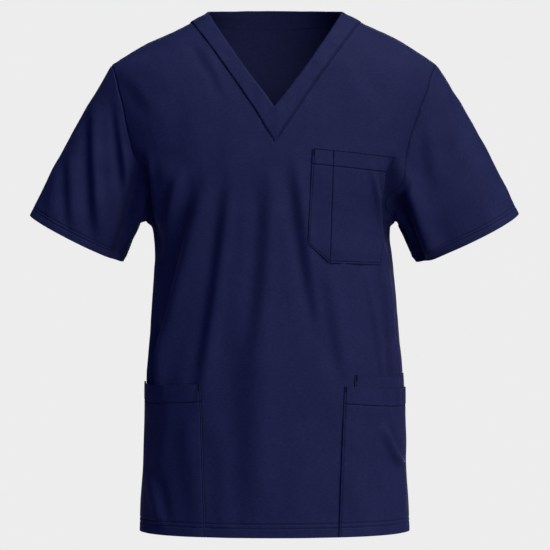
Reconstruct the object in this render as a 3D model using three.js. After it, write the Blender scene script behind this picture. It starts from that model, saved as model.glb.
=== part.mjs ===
// A short-sleeved V-neck scrub top, filled out and hollow as it is worn, with no one in it. Millimetres,
// +Z up, the front towards -Y. The origin is midway between the neck points of the two shoulders, where
// the shoulders carry the garment. Right and left are the wearer's own, and the right side is -X.
import * as THREE from "three";

// Driving dimensions: the cloth, and the heights of the garment's own landmarks.
const CLOTH = 2;
const SEAM_GAP = 0.4;
const HEM_Z = -737.5;
const VENT_TOP_Z = -673;
const ARMPIT_Z = -299;
const UNDERARM_Z = -307;
const FLARE_TOP_Z = -262;
const SHOULDER_Z = -76;
const LEVEL_Z = -420;
const V_POINT_Z = -189.5;
const LAP_Z = -160.2;
const INNER_V_Z = -140.4;
const NECK_POINT_Z = 0;
const BACK_NECK_SEAM_Z = -17;
const BACK_NECK_TOP_Z = 8;
const NECK_SEAM_RIGHT = 119.4;
const NECK_SEAM_LEFT = 120.6;
const NECK_POINT_HALF = 96;
const NECKLINE_BOW = -2;
const UNDERARM_FLARE = 6;
const UNDERARM_EASE = 6;
const BAND_BOW = 4;
const VENT_SPREAD = 2.5;

// Rings and columns of each piece. The front, the back and the sleeves share the rows along their seams.
const VENT_ROWS = 3;
const SIDE_ROWS = 13;
const ARMHOLE_ROWS = 14;
const V_ROW = 4;
const PANEL_COLUMNS = 18;
const NAPE_COLUMNS = 7;
const SLEEVE_ROWS = 12;
const BAND_COLUMNS = 3;

const degrees = Math.PI / 180;
const QUARTER = 90 * degrees;
const SEAM_ANGLE = 5 * degrees;
const FULLNESS = 0.05;
const CENTRE_DRIFT = -2.4;
const RIGHT = -1;
const LEFT = 1;

// The body from the hem to the shoulder points: half widths to the wearer's right and left, up to the
// armpits those of the side seams, and above them those of the rounded form that the armholes are cut in.
const BODY_WIDTHS = [
  { z: -740, right: 192.3, left: 190.5 },
  { z: -690, right: 190, left: 188.5 },
  { z: -640, right: 187, left: 185.5 },
  { z: -580, right: 184.5, left: 183 },
  { z: -520, right: 183, left: 182 },
  { z: -460, right: 178.3, left: 176.8 },
  { z: -400, right: 174.4, left: 171.8 },
  { z: -345, right: 171, left: 166.4 },
  { z: -320, right: 172.4, left: 163.4 },
  { z: -299, right: 177.5, left: 164.8 },
  { z: -276, right: 192, left: 173.5 },
  { z: -255, right: 202, left: 186.5 },
  { z: -236, right: 210.5, left: 197 },
  { z: -213, right: 221.7, left: 207.6 },
  { z: -180, right: 233, left: 218.5 },
  { z: -145, right: 241.5, left: 232 },
  { z: -107, right: 246.5, left: 242 },
  { z: -90, right: 243.4, left: 240.4 },
  { z: -82, right: 238.8, left: 236.4 },
  { z: -76, right: 232.6, left: 230.4 },
];

// The shoulder slope from the shoulder points up to the neck, and the stand of the neck above it.
const SHOULDER_WIDTHS = [
  { z: -76, right: 232.6, left: 230.4 },
  { z: -62, right: 210.8, left: 209.6 },
  { z: -46, right: 183.3, left: 185.3 },
  { z: -34, right: 156.6, left: 163.8 },
  { z: -23, right: 133, left: 139 },
  { z: -11, right: 112.8, left: 115.6 },
  { z: 0, right: 96, left: 96.6 },
  { z: 9, right: 92, left: 92.6 },
];

// How far the centre front and the centre back stand from the plane of the shoulders.
const DEPTHS = [
  { z: -740, front: 125, back: 122 },
  { z: -640, front: 127, back: 118 },
  { z: -520, front: 128, back: 112 },
  { z: -400, front: 126, back: 109 },
  { z: -300, front: 125, back: 113 },
  { z: -240, front: 122, back: 118 },
  { z: -190, front: 115, back: 119 },
  { z: -140, front: 104, back: 115 },
  { z: -107, front: 94, back: 109 },
  { z: -76, front: 82, back: 101 },
  { z: -50, front: 68, back: 92 },
  { z: -33, front: 57, back: 85 },
  { z: -14, front: 40, back: 76 },
  { z: 0, front: 24, back: 67 },
  { z: 9, front: 18, back: 62 },
];

// Where the armhole seam runs, as degrees round the form from the side: forward on the front, backward on
// the back.
const ARMHOLE = [
  { z: -299, front: 5, back: 5 },
  { z: -284, front: 19, back: -14 },
  { z: -255, front: 27, back: -22 },
  { z: -213, front: 31.5, back: -28 },
  { z: -180, front: 32.5, back: -29.5 },
  { z: -145, front: 32.5, back: -29.5 },
  { z: -107, front: 30, back: -26 },
  { z: -90, front: 25.5, back: -19 },
  { z: -82, front: 20, back: -10 },
  { z: -76, front: 5, back: 5 },
];

// Each sleeve's opening, seen from the front: its outer and inner corners, half its depth, and how much
// lower the front of the opening hangs than its corners. The crown is how far the outer edge rounds
// outwards.
const CUFFS = [
  {
    side: RIGHT, outerX: -349.6, outerZ: -289, innerX: -216.5,
    innerZ: -356, halfDepth: 49, drop: 5.5, crown: 3,
  },
  {
    side: LEFT, outerX: 347, outerZ: -287, innerX: 202.2,
    innerZ: -356.4, halfDepth: 49, drop: 8, crown: 4.5,
  },
];

// Folds of the body, seen from the front or from behind. A fold is a roll along a curve through its top,
// middle and bottom: the cloth sinks by lift on the -X side of the line and rises by it on the other,
// width away.
const FRONT_FOLDS = [
  { topX: -137, topZ: -222, midX: -154, midZ: -304, footX: -167, footZ: -400, width: 9, lift: 4.5 },
  { topX: -99, topZ: -222, midX: -136, midZ: -370, footX: -168, footZ: -560, width: 10, lift: 6 },
  { topX: -64, topZ: -222, midX: -82, midZ: -375, footX: -107, footZ: -565, width: 11, lift: 4.5 },
  { topX: -17, topZ: -232, midX: -24, midZ: -415, footX: -38, footZ: -720, width: 17, lift: 3.6 },
  { topX: 12, topZ: -185, midX: 36, midZ: -318, footX: 60, footZ: -470, width: 11, lift: 4.5 },
  { topX: 62, topZ: -350, midX: 80, midZ: -448, footX: 97, footZ: -550, width: 11, lift: 2.6 },
  { topX: 136, topZ: -226, midX: 149, midZ: -290, footX: 157, footZ: -352, width: 10, lift: -3 },
  { topX: 127, topZ: -350, midX: 139, midZ: -430, footX: 161, footZ: -560, width: 9, lift: -5 },
];
const BACK_FOLDS = [
  { topX: -120, topZ: -230, midX: -140, midZ: -380, footX: -158, footZ: -620, width: 13, lift: -5 },
  { topX: -66, topZ: -190, midX: -84, midZ: -400, footX: -104, footZ: -700, width: 15, lift: -5 },
  { topX: -14, topZ: -260, midX: -22, midZ: -450, footX: -32, footZ: -725, width: 18, lift: 4 },
  { topX: 40, topZ: -200, midX: 58, midZ: -400, footX: 70, footZ: -690, width: 15, lift: 5 },
  { topX: 104, topZ: -225, midX: 128, midZ: -380, footX: 150, footZ: -640, width: 13, lift: 5 },
];
const SLEEVE_FOLDS = [
  { topX: -291, topZ: -180, midX: -290, midZ: -240, footX: -288, footZ: -312, width: 11, lift: 3 },
  { topX: -252, topZ: -120, midX: -256, midZ: -205, footX: -251, footZ: -322, width: 12, lift: 5 },
  { topX: -226, topZ: -125, midX: -214, midZ: -215, footX: -206, footZ: -285, width: 11, lift: 3 },
  { topX: 243, topZ: -95, midX: 252, midZ: -150, footX: 268, footZ: -215, width: 11, lift: -2.5 },
  { topX: 186, topZ: -220, midX: 200, midZ: -285, footX: 216, footZ: -345, width: 13, lift: 5 },
];

// The patch pockets, in the front view. The two side pockets and the small one behind the left of them run
// from their front edge round to the side seam and down into the hem.
const POCKET_CLEARANCE = 1.1;
const CHEST_POCKET_CLEARANCE = 2;
const SIDE_POCKETS = [
  {
    name: "pocket_right", side: RIGHT, frontZ: -526, sideZ: -525.6,
    footZ: -737, topX: 102, footX: 95, gape: 2.4,
  },
  {
    name: "pocket_left", side: LEFT, frontZ: -528.4, sideZ: -533.4,
    footZ: -737, topX: 95.5, footX: 88, gape: 2,
  },
  {
    name: "pocket_left_inner", side: LEFT, frontZ: -513, sideZ: -514,
    footZ: -600, topX: 110, footX: 107, gape: 1,
  },
];
const COVERING_POCKET = "pocket_left";
const COVERED_FOOT_Z = -602;
const COVERED_FADE = 40;
const SIDE_POCKET_COLUMNS = 10;
const SIDE_POCKET_ROW_HEIGHT = 21;
const MOUTH_SAG = 3.3;
const GAPE_HEIGHT = 70;
const CHEST_POCKET = {
  topInner: { x: 51.8, z: -200.4 },
  topOuter: { x: 167, z: -211 },
  footInner: { x: 44.4, z: -331.6 },
  footCorner: { x: 75, z: -358.7 },
  footOuter: { x: 147.7, z: -361.2 },
  penColumns: 3,
  bagColumns: 9,
  rows: 12,
};

const mix = (a, b, share) => a + (b - a) * share;

function ease(share) {
  const t = THREE.MathUtils.clamp(share, 0, 1);
  return t * t * (3 - 2 * t);
}

// A smooth curve through one column of a table by height, with no overshoot between its rows.
function curveOf(rows, column) {
  const at = rows.map((row) => row.z);
  const value = rows.map((row) => row[column]);
  const rise = at.slice(1).map((z, i) => (value[i + 1] - value[i]) / (z - at[i]));
  const slope = at.map((_, i) => {
    if (i === 0) return rise[0];
    if (i === at.length - 1) return rise[i - 1];
    const [below, above] = [rise[i - 1], rise[i]];
    return below * above <= 0 ? 0 : (2 * below * above) / (below + above);
  });
  return (z) => {
    const held = THREE.MathUtils.clamp(z, at[0], at[at.length - 1]);
    let i = 0;
    while (i < at.length - 2 && held > at[i + 1]) {
      i += 1;
    }
    const step = at[i + 1] - at[i];
    const t = (held - at[i]) / step;
    const rising = t * t * (3 - 2 * t);
    const start = t * (1 - t) * (1 - t) * step * slope[i];
    const end = t * t * (t - 1) * step * slope[i + 1];
    return mix(value[i], value[i + 1], rising) + start + end;
  };
}

const bodyWidth = { [RIGHT]: curveOf(BODY_WIDTHS, "right"), [LEFT]: curveOf(BODY_WIDTHS, "left") };
const shoulderWidth = {
  [RIGHT]: curveOf(SHOULDER_WIDTHS, "right"),
  [LEFT]: curveOf(SHOULDER_WIDTHS, "left"),
};
const frontDepth = curveOf(DEPTHS, "front");
const backDepth = curveOf(DEPTHS, "back");
const armholeFront = curveOf(ARMHOLE, "front");
const armholeBack = curveOf(ARMHOLE, "back");

const halfWidth = (side, z) => (z > SHOULDER_Z ? shoulderWidth[side](z) : bodyWidth[side](z));

// The filled-out form without folds. The angle runs round the body from the side, forward above zero.
function formPoint(side, angle, z) {
  const fuller = 1 + FULLNESS * Math.sin(2 * angle) ** 2;
  const depth = angle > 0 ? frontDepth(z) : backDepth(z);
  const drift = CENTRE_DRIFT * Math.sin(angle) ** 2;
  const flareStart = ease((z - UNDERARM_Z) / (ARMPIT_Z - UNDERARM_Z));
  const flareEnd = ease((FLARE_TOP_Z - z) / (FLARE_TOP_Z - ARMPIT_Z));
  const flare = UNDERARM_FLARE * flareStart * flareEnd * Math.cos(angle) ** 14;
  return new THREE.Vector3(
    side * (halfWidth(side, z) * Math.cos(angle) * fuller + flare) + drift,
    -depth * Math.sin(angle) * fuller,
    z,
  );
}

function formNormal(side, angle, z) {
  const turn = 0.5 * degrees;
  const rise = z > SHOULDER_Z - 1 && z < SHOULDER_Z + 1 ? 2.5 : 1;
  const round = formPoint(side, angle + turn, z).sub(formPoint(side, angle - turn, z));
  const up = formPoint(side, angle, z + rise).sub(formPoint(side, angle, z - rise));
  return round.cross(up).multiplyScalar(side).normalize().negate();
}

// The angle at which the form's front is x from the middle.
function angleAt(side, x, z) {
  let [low, high] = [0, QUARTER];
  for (let step = 0; step < 40; step += 1) {
    const middle = (low + high) / 2;
    if (side * (formPoint(side, middle, z).x - x) > 0) {
      low = middle;
    } else {
      high = middle;
    }
  }
  return (low + high) / 2;
}

// The rise or fall that a table of folds gives the cloth at a place in the front view.
function foldLift(folds, x, z) {
  let lift = 0;
  for (const fold of folds) {
    const along = (fold.topZ - z) / (fold.topZ - fold.footZ);
    if (along <= 0 || along >= 1) continue;
    const bend = (fold.topZ - fold.midZ) / (fold.topZ - fold.footZ);
    const bow = (fold.midX - mix(fold.topX, fold.footX, bend)) / (bend * (1 - bend));
    const lineX = mix(fold.topX, fold.footX, along) + bow * along * (1 - along);
    const lean = (fold.footX - fold.topX + bow * (1 - 2 * along)) / (fold.topZ - fold.footZ);
    const off = (x - lineX) / (fold.width * Math.hypot(1, lean));
    const fade = ease(along / 0.25) * ease((1 - along) / 0.3);
    lift += fold.lift * off * Math.exp(0.5 * (1 - off * off)) * fade;
  }
  return lift;
}

// A place on the cloth: the form, moved out or in by the folds of its face. The folds die out at the side
// seams.
function clothPoint(side, angle, z) {
  const point = formPoint(side, angle, z);
  const folds = angle > 0 ? FRONT_FOLDS : BACK_FOLDS;
  const kept = ease((Math.abs(angle) - SEAM_ANGLE) / (14 * degrees));
  return point.addScaledVector(formNormal(side, angle, z), kept * foldLift(folds, point.x, z));
}

// A patch is a list of points and of quads over them that face out of the cloth.
function gridPatch(rows, columns, closed, pointAt) {
  const across = closed ? columns : columns + 1;
  const points = [];
  for (let j = 0; j <= rows; j += 1) {
    for (let i = 0; i < across; i += 1) {
      points.push(pointAt(i, j));
    }
  }
  const quads = [];
  for (let j = 0; j < rows; j += 1) {
    for (let i = 0; i < columns; i += 1) {
      const next = (i + 1) % across;
      quads.push([j * across + i, j * across + next, (j + 1) * across + next, (j + 1) * across + i]);
    }
  }
  return { points, quads };
}

const placeKey = (point) => point.toArray().map((value) => Math.round(value * 50)).join(" ");

function joinPatches(patches) {
  const points = [];
  const numbers = new Map();
  const quads = [];
  for (const patch of patches) {
    const renumbered = patch.points.map((point) => {
      const key = placeKey(point);
      if (!numbers.has(key)) numbers.set(key, points.push(point) - 1);
      return numbers.get(key);
    });
    for (const quad of patch.quads) {
      quads.push(quad.map((number) => renumbered[number]));
    }
  }
  return { points, quads };
}

function quadNormal(patch, quad) {
  const [a, b, c, d] = quad.map((number) => patch.points[number]);
  return c.clone().sub(a).cross(d.clone().sub(b)).multiplyScalar(0.5);
}

// Turns a patch's quads so that they face away from a point inside.
function faceAwayFrom(inside, patch) {
  let outwards = 0;
  for (const quad of patch.quads) {
    const fromInside = patch.points[quad[0]].clone().sub(inside);
    outwards += quadNormal(patch, quad).dot(fromInside);
  }
  if (outwards < 0) {
    patch.quads.forEach((quad) => quad.reverse());
  }
  return patch;
}

function vertexNormals(patch) {
  const normals = patch.points.map(() => new THREE.Vector3());
  for (const quad of patch.quads) {
    const normal = quadNormal(patch, quad);
    quad.forEach((number) => normals[number].add(normal));
  }
  return normals.map((normal) => normal.normalize());
}

function rimEdges(quads) {
  const open = new Map();
  for (const quad of quads) {
    quad.forEach((from, i) => {
      const to = quad[(i + 1) % 4];
      if (!open.delete(`${to} ${from}`)) open.set(`${from} ${to}`, [from, to]);
    });
  }
  return [...open.values()];
}

// Where pieces meet at a seam they share one edge direction, so that their edges stay parallel and a gap
// apart.
function sharedNormals(patches) {
  const sums = new Map();
  for (const patch of patches) {
    vertexNormals(patch).forEach((normal, number) => {
      const key = placeKey(patch.points[number]);
      if (!sums.has(key)) sums.set(key, { sum: new THREE.Vector3(), count: 0 });
      const entry = sums.get(key);
      entry.sum.add(normal);
      entry.count += 1;
    });
  }
  return (point) => {
    const { sum, count } = sums.get(placeKey(point));
    const spread = Math.max(sum.length() / count, 0.92);
    return { normal: sum.clone().normalize(), mitre: 1 / spread };
  };
}

// How each rim vertex is drawn back into its own piece, to leave half of the seam gap there.
function drawnBack(patch, normals) {
  const inward = new Map();
  for (const [from, to] of rimEdges(patch.quads)) {
    for (const number of [from, to]) {
      const edge = patch.points[to].clone().sub(patch.points[from]);
      const into = normals[number].clone().cross(edge).normalize();
      const known = inward.get(number);
      if (known) {
        inward.set(number, known.clone().add(into).divideScalar(Math.max(1 + known.dot(into), 0.5)));
      } else {
        inward.set(number, into);
      }
    }
  }
  return patch.points.map((_, number) => {
    const into = inward.get(number);
    return into ? into.multiplyScalar(SEAM_GAP / 2) : new THREE.Vector3();
  });
}

// The closed wall of a patch: its outer side, its inner side a cloth's thickness in, and the cut edge all
// round.
function wallGeometry(patch, normals, mitres) {
  const moves = drawnBack(patch, normals);
  const outer = patch.points.map((point, i) => point.clone().add(moves[i]));
  const inner = outer.map((point, i) => point.clone().addScaledVector(normals[i], -CLOTH * mitres[i]));
  const triangles = [];
  for (const [a, b, c, d] of patch.quads) {
    triangles.push(outer[a], outer[b], outer[c], outer[a], outer[c], outer[d]);
    triangles.push(inner[c], inner[b], inner[a], inner[d], inner[c], inner[a]);
  }
  for (const [from, to] of rimEdges(patch.quads)) {
    triangles.push(outer[to], outer[from], inner[from], outer[to], inner[from], inner[to]);
  }
  return new THREE.BufferGeometry().setFromPoints(triangles);
}

const stretch = (from, to, count) => Array.from({ length: count }, (_, i) => mix(from, to, i / count));

// Rows of the neckline draw closer together towards the shoulder seam, where the cloth turns over the
// shoulder.
const closing = (share) => 1 - (1 - share) ** 1.35;

// Heights of the rows at the side seams and the armholes, from the hem up to the shoulder points. They are
// closer to each other at the armpit and at the shoulder point.
const outerHeights = [
  ...stretch(HEM_Z, VENT_TOP_Z, VENT_ROWS),
  ...stretch(VENT_TOP_Z, UNDERARM_Z, SIDE_ROWS),
  UNDERARM_Z,
  ...stretch(0, 1, ARMHOLE_ROWS).map((share) => mix(ARMPIT_Z, SHOULDER_Z, mix(share, ease(share), 0.45))),
  SHOULDER_Z,
];
const PANEL_ROWS = outerHeights.length - 1;
const ARMPIT_ROW = VENT_ROWS + SIDE_ROWS + 1;

const LEVEL_ROW = outerHeights.findIndex((z) => z > LEVEL_Z) - 1;
const V_POINT_ROW = ARMPIT_ROW + V_ROW;
const NECK_ROWS = PANEL_ROWS - V_POINT_ROW - 1;

// Where the shoulder seam is as high as it must be to end x from the middle.
function shoulderSeamHeight(side, x) {
  let [low, high] = [SHOULDER_Z, NECK_POINT_Z];
  for (let step = 0; step < 40; step += 1) {
    const middle = (low + high) / 2;
    if (halfWidth(side, middle) > x) {
      low = middle;
    } else {
      high = middle;
    }
  }
  return (low + high) / 2;
}

const neckSeamX = { [RIGHT]: NECK_SEAM_RIGHT, [LEFT]: NECK_SEAM_LEFT };
const neckSeamZ = {
  [RIGHT]: shoulderSeamHeight(RIGHT, NECK_SEAM_RIGHT),
  [LEFT]: shoulderSeamHeight(LEFT, NECK_SEAM_LEFT),
};

// The height that a row of the front has at its inner edge: the centre front, then the V point, the place
// where the bands cross, and the neckline up to the shoulder seam.
function frontHeight(side, row) {
  if (row <= LEVEL_ROW) return outerHeights[row];
  const share = (row - LEVEL_ROW) / (V_POINT_ROW - LEVEL_ROW);
  if (row <= V_POINT_ROW) return mix(outerHeights[LEVEL_ROW], V_POINT_Z, share);
  return mix(LAP_Z, neckSeamZ[side], closing((row - V_POINT_ROW - 1) / NECK_ROWS));
}

function backHeight(row) {
  if (row <= LEVEL_ROW) return outerHeights[row];
  return mix(outerHeights[LEVEL_ROW], BACK_NECK_SEAM_Z, (row - LEVEL_ROW) / (PANEL_ROWS - LEVEL_ROW));
}

function necklineX(side, z) {
  const share = (z - V_POINT_Z) / (neckSeamZ[side] - V_POINT_Z);
  return neckSeamX[side] * share + 4 * NECKLINE_BOW * share * (1 - share);
}

// The vents are open slits at the foot of both side seams, so the panels draw apart below their tops.
function ventTurn(z) {
  const open = THREE.MathUtils.clamp((VENT_TOP_Z - z) / (VENT_TOP_Z - HEM_Z), 0, 1);
  return (VENT_SPREAD * open) / frontDepth(z);
}

// One half of the front: from the side seam and the armhole to the centre front and the neckline.
function frontHalf(side) {
  return gridPatch(PANEL_ROWS, PANEL_COLUMNS, false, (i, j) => {
    const outerZ = outerHeights[j];
    const innerZ = frontHeight(side, j);
    const turn = ventTurn(outerZ);
    const outerAngle = j <= ARMPIT_ROW ? SEAM_ANGLE + turn : armholeFront(outerZ) * degrees;
    const innerAngle = innerZ <= V_POINT_Z ? QUARTER : neckAngle(side, innerZ);
    const share = i / PANEL_COLUMNS;
    const z = j === PANEL_ROWS ? seamHeight(side, share) : mix(outerZ, innerZ, share);
    return clothPoint(side, mix(outerAngle, innerAngle, share), z);
  });
}

function neckAngle(side, z) {
  return z >= neckSeamZ[side] ? SEAM_ANGLE : angleAt(side, side * necklineX(side, z), z);
}

// The height of the shoulder seam, part of the way from the shoulder point to the neckline.
function seamHeight(side, share) {
  if (share <= 0) return SHOULDER_Z;
  return shoulderSeamHeight(side, mix(halfWidth(side, SHOULDER_Z), neckSeamX[side], share));
}

// One half of the back: from the side seam and the armhole to the centre back. Its top row is the shoulder
// seam and then the back neckline, and the rows under it come round to that shape by degrees.
function backHalf(side) {
  const columns = PANEL_COLUMNS + NAPE_COLUMNS;
  return gridPatch(PANEL_ROWS, columns, false, (i, j) => {
    const outerZ = outerHeights[j];
    const innerZ = backHeight(j);
    const outerAngle = j <= ARMPIT_ROW ? SEAM_ANGLE - ventTurn(outerZ) : armholeBack(outerZ) * degrees;
    const share = i / columns;
    const neckShare = (i - PANEL_COLUMNS) / NAPE_COLUMNS;
    const top =
      i <= PANEL_COLUMNS
        ? { angle: SEAM_ANGLE, z: seamHeight(side, i / PANEL_COLUMNS) }
        : {
            angle: mix(SEAM_ANGLE, -QUARTER, neckShare),
            z: mix(neckSeamZ[side], BACK_NECK_SEAM_Z, neckShare),
          };
    const lift = THREE.MathUtils.clamp((j - ARMPIT_ROW) / ARMHOLE_ROWS, 0, 1) ** 2;
    const turned = lift * (top.angle - mix(SEAM_ANGLE, -QUARTER, share));
    const raised = lift * (top.z - mix(SHOULDER_Z, BACK_NECK_SEAM_Z, share));
    const angle = mix(outerAngle, -QUARTER, share) + turned;
    return clothPoint(side, angle, mix(outerZ, innerZ, share) + raised);
  });
}

// The armhole as a ring of points, from the shoulder point down the front and up the back.
function armholeRing(side) {
  const heights = outerHeights.slice(ARMPIT_ROW);
  const front = heights.map((z) => clothPoint(side, armholeFront(z) * degrees, z));
  const back = heights.map((z) => clothPoint(side, armholeBack(z) * degrees, z));
  return [...front.reverse(), ...back.slice(1, -1)];
}

// The sleeve is a tube from the armhole ring to the oval of its opening, with its crown and its folds.
function sleeve(cuff) {
  const ring = armholeRing(cuff.side);
  const outer = new THREE.Vector3(cuff.outerX, 0, cuff.outerZ);
  const inner = new THREE.Vector3(cuff.innerX, 0, cuff.innerZ);
  const centre = outer.clone().add(inner).multiplyScalar(0.5);
  const upwards = outer.clone().sub(centre);
  const outwards = new THREE.Vector3(upwards.z, 0, -upwards.x).normalize().multiplyScalar(-cuff.side);
  if (outwards.z > 0) outwards.negate();
  const lengths = ring.map((point, k) => point.distanceTo(ring[(k + 1) % ring.length]));
  const whole = (from, to) => lengths.slice(from, to).reduce((sum, length) => sum + length, 0);
  const tube = gridPatch(SLEEVE_ROWS, ring.length, true, (k, j) => {
    const half = k <= ARMHOLE_ROWS ? [0, ARMHOLE_ROWS] : [ARMHOLE_ROWS, ring.length];
    const turn = Math.PI * ((k > ARMHOLE_ROWS ? 1 : 0) + whole(half[0], k) / whole(half[0], half[1]));
    const opening = centre
      .clone()
      .addScaledVector(upwards, Math.cos(turn))
      .add(new THREE.Vector3(0, -cuff.halfDepth * Math.sin(turn), 0))
      .addScaledVector(outwards, cuff.drop * Math.sin(turn));
    const share = j / SLEEVE_ROWS;
    const crown = cuff.crown * Math.max(Math.cos(turn), 0) * Math.sin(Math.PI * share);
    const eased = UNDERARM_EASE * Math.max(-Math.cos(turn), 0) * ease(share * SLEEVE_ROWS) * (1 - share);
    return ring[k]
      .clone()
      .lerp(opening, share)
      .addScaledVector(upwards, (crown + eased) / upwards.length());
  });
  faceAwayFrom(centre.clone().lerp(new THREE.Vector3(cuff.side * 205, 0, -190), 0.5), tube);
  const normals = vertexNormals(tube);
  tube.points = tube.points.map((point, number) => {
    const share = Math.floor(number / ring.length) / SLEEVE_ROWS;
    const kept = ease(share / 0.2) * ease((1 - share) / 0.12) * Math.max(-normals[number].y, 0);
    return point.clone().addScaledVector(normals[number], kept * foldLift(SLEEVE_FOLDS, point.x, point.z));
  });
  return tube;
}

function bandEdge(share) {
  return {
    x: NECK_POINT_HALF * share + 4 * BAND_BOW * share * (1 - share),
    z: mix(INNER_V_Z, NECK_POINT_Z, share),
  };
}

// The front neckband in two strips. The left strip laps over the right one and runs on to the V point, so
// the right one ends where the left one's inner edge crosses it.
function frontBand(side) {
  const laps = side === LEFT;
  return gridPatch(NECK_ROWS + (laps ? 1 : 0), BAND_COLUMNS, false, (i, j) => {
    const neckRow = j + (laps ? -1 : 0);
    const seamZ = frontHeight(side, V_POINT_ROW + 1 + neckRow);
    const across = i / BAND_COLUMNS;
    const seam = clothPoint(side, neckRow < 0 ? QUARTER : neckAngle(side, seamZ), seamZ);
    if (neckRow < 0) {
      const lap = clothPoint(RIGHT, neckAngle(RIGHT, LAP_Z), LAP_Z);
      return i === 0 ? seam : i === BAND_COLUMNS ? lap : bandPlace(seam, lap, across);
    }
    const edge = bandEdge(closing(neckRow / NECK_ROWS));
    const angle = neckRow === NECK_ROWS ? SEAM_ANGLE : angleAt(side, side * edge.x, edge.z);
    const inner = clothPoint(side, neckRow === 0 ? QUARTER : angle, edge.z);
    return i === 0 ? seam : i === BAND_COLUMNS ? inner : bandPlace(seam, inner, across);
  });
}

// A place part of the way across a band, on the form between its two edges.
function bandPlace(from, to, share) {
  const x = mix(from.x, to.x, share);
  const z = mix(from.z, to.z, share);
  const side = x < CENTRE_DRIFT ? RIGHT : LEFT;
  const widest = Math.abs(clothPoint(side, SEAM_ANGLE, z).x);
  const angle = Math.abs(x) >= widest - 0.01 ? SEAM_ANGLE : Math.max(angleAt(side, x, z), SEAM_ANGLE);
  return clothPoint(side, angle, z);
}

// The back neckband, from one shoulder seam round the nape to the other.
function backBand() {
  return gridPatch(BAND_COLUMNS, 2 * NAPE_COLUMNS, false, (i, j) => {
    const side = i < NAPE_COLUMNS ? RIGHT : LEFT;
    const round = 1 - Math.abs(i - NAPE_COLUMNS) / NAPE_COLUMNS;
    const seamZ = mix(neckSeamZ[side], BACK_NECK_SEAM_Z, round);
    const topZ = mix(NECK_POINT_Z, BACK_NECK_TOP_Z, Math.sin(QUARTER * round));
    return clothPoint(side, mix(SEAM_ANGLE, -QUARTER, round), mix(seamZ, topZ, j / BAND_COLUMNS));
  });
}

// A side pocket stands on the form over the folds behind it, and its mouth gapes a little.
function sidePocket(pocket) {
  const rows = Math.round((pocket.frontZ - pocket.footZ) / SIDE_POCKET_ROW_HEIGHT);
  return gridPatch(rows, SIDE_POCKET_COLUMNS, false, (i, j) => {
    const share = i / SIDE_POCKET_COLUMNS;
    const topZ = mix(pocket.frontZ, pocket.sideZ, share) - MOUTH_SAG * Math.sin(Math.PI * share);
    const z = mix(pocket.footZ, topZ, j / rows);
    const edgeX = mix(pocket.footX, pocket.topX, j / rows);
    const seam = SEAM_ANGLE + ventTurn(z) + 0.2 * degrees;
    const angle = mix(angleAt(pocket.side, pocket.side * edgeX, z), seam, share);
    const point = formPoint(pocket.side, angle, z);
    const kept = ease((angle - SEAM_ANGLE) / (14 * degrees));
    const ridge = kept * Math.max(foldLift(FRONT_FOLDS, point.x, z), 0);
    const mouth = ease(1 - (topZ - z) / GAPE_HEIGHT) * Math.sin(Math.PI * share);
    const covers = pocket.name === COVERING_POCKET ? ease(1 + (z - COVERED_FOOT_Z) / COVERED_FADE) : 0;
    const out = (covers + 1) * (CLOTH + POCKET_CLEARANCE) + ridge + pocket.gape * mouth;
    return point.addScaledVector(formNormal(pocket.side, angle, z), out);
  });
}

// The chest pocket, with its inner bottom corner cut off. The pen slot is the part inside the first
// columns.
function chestPocket() {
  const { topInner, topOuter, footInner, footCorner, footOuter, penColumns, bagColumns, rows } = CHEST_POCKET;
  const columns = penColumns + bagColumns;
  return gridPatch(rows, columns, false, (i, j) => {
    const foot =
      i <= penColumns
        ? {
            x: mix(footInner.x, footCorner.x, i / penColumns),
            z: mix(footInner.z, footCorner.z, i / penColumns),
          }
        : {
            x: mix(footCorner.x, footOuter.x, (i - penColumns) / bagColumns),
            z: mix(footCorner.z, footOuter.z, (i - penColumns) / bagColumns),
          };
    const top = { x: mix(topInner.x, topOuter.x, i / columns), z: mix(topInner.z, topOuter.z, i / columns) };
    const x = mix(foot.x, top.x, j / rows);
    const z = mix(foot.z, top.z, j / rows);
    const angle = angleAt(LEFT, x, z);
    const out = CHEST_POCKET_CLEARANCE + CLOTH;
    return clothPoint(LEFT, angle, z).addScaledVector(formNormal(LEFT, angle, z), out);
  });
}

const bodyCentre = new THREE.Vector3(0, 0, -400);
const neckCentre = new THREE.Vector3(0, 0, -60);
const shell = {
  front: faceAwayFrom(bodyCentre, joinPatches([frontHalf(RIGHT), flipped(frontHalf(LEFT))])),
  back: faceAwayFrom(bodyCentre, joinPatches([backHalf(RIGHT), flipped(backHalf(LEFT))])),
  sleeve_right: sleeve(CUFFS[0]),
  sleeve_left: sleeve(CUFFS[1]),
  neckband_right: faceAwayFrom(bodyCentre, frontBand(RIGHT)),
  neckband_left: faceAwayFrom(bodyCentre, frontBand(LEFT)),
  neckband_back: faceAwayFrom(neckCentre, backBand()),
};
const pockets = { chest_pocket: faceAwayFrom(bodyCentre, chestPocket()) };
for (const pocket of SIDE_POCKETS) {
  pockets[pocket.name] = faceAwayFrom(bodyCentre, sidePocket(pocket));
}

function flipped(patch) {
  patch.quads.forEach((quad) => quad.reverse());
  return patch;
}

function navyCloth() {
  return new THREE.MeshStandardMaterial({
    color: 0x1c1f42,
    roughness: 0.85,
    metalness: 0,
    side: THREE.DoubleSide,
  });
}

const scrubTop = new THREE.Group();
scrubTop.name = "scrub_top";

function addPiece(name, patch, normals, mitres) {
  const geometry = wallGeometry(patch, normals, mitres);
  geometry.computeVertexNormals();
  const mesh = new THREE.Mesh(geometry, navyCloth());
  mesh.name = name;
  scrubTop.add(mesh);
}

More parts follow.
